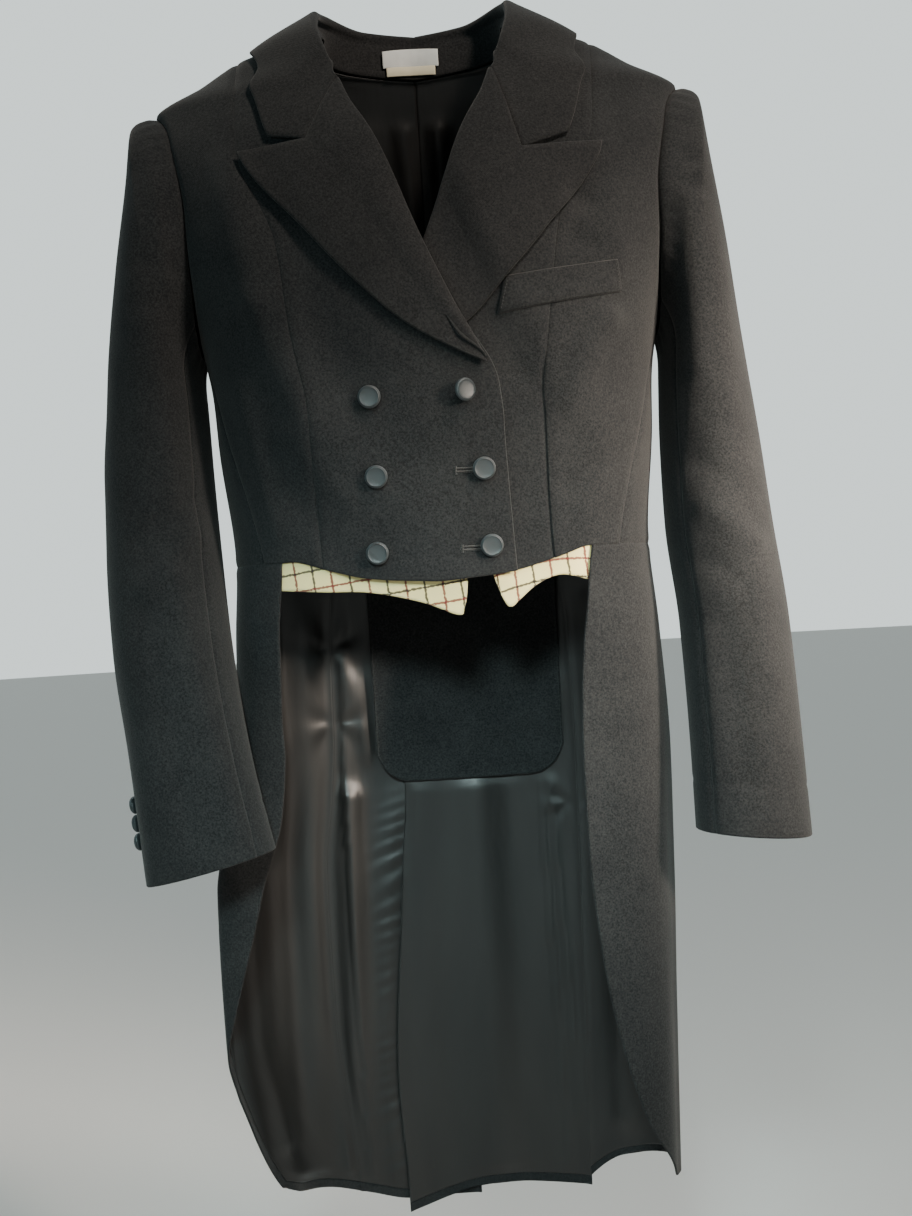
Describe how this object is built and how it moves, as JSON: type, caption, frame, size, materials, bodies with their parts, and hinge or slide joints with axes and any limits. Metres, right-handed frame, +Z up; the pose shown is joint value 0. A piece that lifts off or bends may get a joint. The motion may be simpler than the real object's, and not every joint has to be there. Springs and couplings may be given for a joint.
{
  "type": "shadbelly coat",
  "caption": "Short-fronted double-breasted tailcoat with peaked lapels, long lined tails and sewn-in waistcoat points, hollow as worn.",
  "frame": {"origin": "on the coat's centre plane, at the height of the shoulder seams' neck ends, where the wearer's neck and shoulders carry it", "axes": "+Z up, -Y towards the coat's front, +X towards the wearer's left"},
  "size_m": [0.5492, 0.2323, 1.0368],
  "materials": {
    "wool": "fine matte charcoal wool",
    "collar_wool": "fine matte charcoal wool, interlined",
    "satin": "near-black satin lining",
    "check_cloth": "cream cloth with a fine windowpane check",
    "button": "slate grey, matte face and rounded rim",
    "label_tape": "white woven tape, bare"
  },
  "bodies": {
    "root": {"back_left": "wool", "back_right": "wool", "button_1": "button", "button_2": "button", "button_3": "button", "button_4": "button", "button_5": "button", "button_6": "button", "chest_welt": "wool", "collar_fall": "collar_wool", "collar_stand": "collar_wool", "cuff_button_left_1": "button", "cuff_button_left_2": "button", "cuff_button_left_3": "button", "cuff_button_right_1": "button", "cuff_button_right_2": "button", "cuff_button_right_3": "button", "front_left": "wool", "front_right": "wool", "label_size": "label_tape", "label_woven": "label_tape", "lapel_left": "collar_wool", "lapel_right": "collar_wool", "lining_back_left": "satin", "lining_back_right": "satin", "lining_skirt_left": "satin", "lining_skirt_right": "satin", "saddle_patch": "wool", "side_body_left": "wool", "side_body_right": "wool", "side_front_left": "wool", "side_front_right": "wool", "skirt_left": "wool", "skirt_right": "wool", "top_sleeve_left": "wool", "top_sleeve_right": "wool", "under_sleeve_left": "wool", "under_sleeve_right": "wool", "vest_point_left": "check_cloth", "vest_point_right": "check_cloth"}
  },
  "joints": []
}
